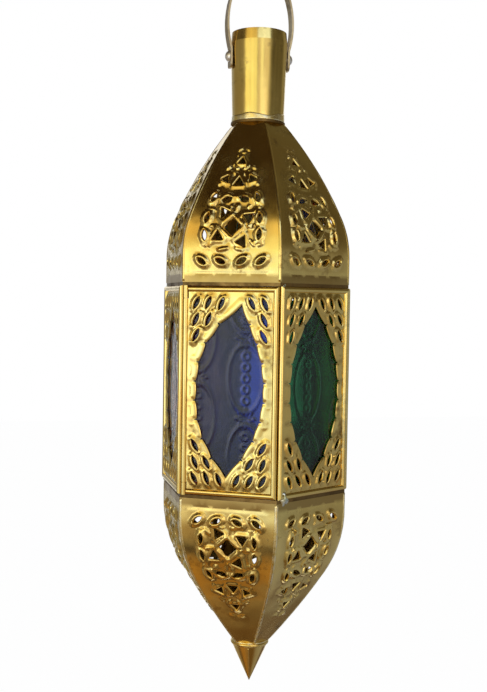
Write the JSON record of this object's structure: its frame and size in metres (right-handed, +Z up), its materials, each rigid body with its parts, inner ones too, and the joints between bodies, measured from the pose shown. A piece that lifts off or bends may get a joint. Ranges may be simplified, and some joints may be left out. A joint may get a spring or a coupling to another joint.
{
  "type": "hanging candle lantern",
  "caption": "Six-sided hanging brass candle lantern: strap bail, open neck, pierced dome and bowl, coloured pressed-glass faces with a hinged door, and a pointed tip.",
  "frame": {"origin": "under the crown of the bail, where a hook bears on the strap", "axes": "+Z up along the lantern's axis; +X along the bail's rivets; one corner of the body faces -Y"},
  "size_m": [0.1314, 0.1482, 0.5489],
  "materials": {
    "brass": "polished, lightly tarnished brass sheet",
    "strap_brass": "dull brass strap",
    "rivet_steel": "plain steel rivet",
    "glass_blue": "pressed cobalt glass",
    "glass_green": "pressed emerald glass",
    "glass_amber": "pressed amber glass",
    "glass_red": "pressed red glass",
    "glass_clear": "pressed clear glass"
  },
  "bodies": {
    "bail": {"bail_strap": "strap_brass"},
    "lantern": {"left_bail_rivet": "rivet_steel", "right_bail_rivet": "rivet_steel", "neck_tube": "brass", "neck_flange": "brass", "dome_panel_front_left": "brass", "dome_panel_front_right": "brass", "dome_panel_right": "brass", "dome_panel_rear_right": "brass", "dome_panel_rear_left": "brass", "dome_panel_left": "brass", "bowl_panel_front_left": "brass", "bowl_panel_front_right": "brass", "bowl_panel_right": "brass", "bowl_panel_rear_right": "brass", "bowl_panel_rear_left": "brass", "bowl_panel_left": "brass", "upper_ring": "brass", "lower_ring": "brass", "frame_front_right": "brass", "fret_front_right": "brass", "glass_front_right": "glass_green", "glass_clips_front_right": "brass", "frame_right": "brass", "fret_right": "brass", "glass_right": "glass_amber", "glass_clips_right": "brass", "frame_rear_right": "brass", "fret_rear_right": "brass", "glass_rear_right": "glass_clear", "glass_clips_rear_right": "brass", "frame_rear_left": "brass", "fret_rear_left": "brass", "glass_rear_left": "glass_red", "glass_clips_rear_left": "brass", "frame_left": "brass", "fret_left": "brass", "glass_left": "glass_clear", "glass_clips_left": "brass", "hinge_knuckle_upper": "brass", "hinge_knuckle_lower": "brass", "hinge_pin": "brass", "door_catch": "brass", "door_stop": "brass", "candle_plate": "brass", "candle_cup": "brass", "cup_rivets": "brass", "tip_collar": "brass", "tip_cone": "brass"},
    "door": {"door_frame": "brass", "door_fret": "brass", "door_hinge_barrel": "brass", "door_glass": "glass_blue", "door_glass_clips": "brass"}
  },
  "joints": [
    {"name": "bail_swing", "type": "hinge", "parent": "bail", "child": "lantern", "pos_m": [0, 0, -0.06321], "axis": [1, 0, 0], "range_deg": [-140, 140]},
    {"name": "door_swing", "type": "hinge", "parent": "lantern", "child": "door", "pos_m": [-0.06118, -0.03812, -0.31506], "axis": [0, 0, -1], "range_deg": [0, 145]}
  ]
}
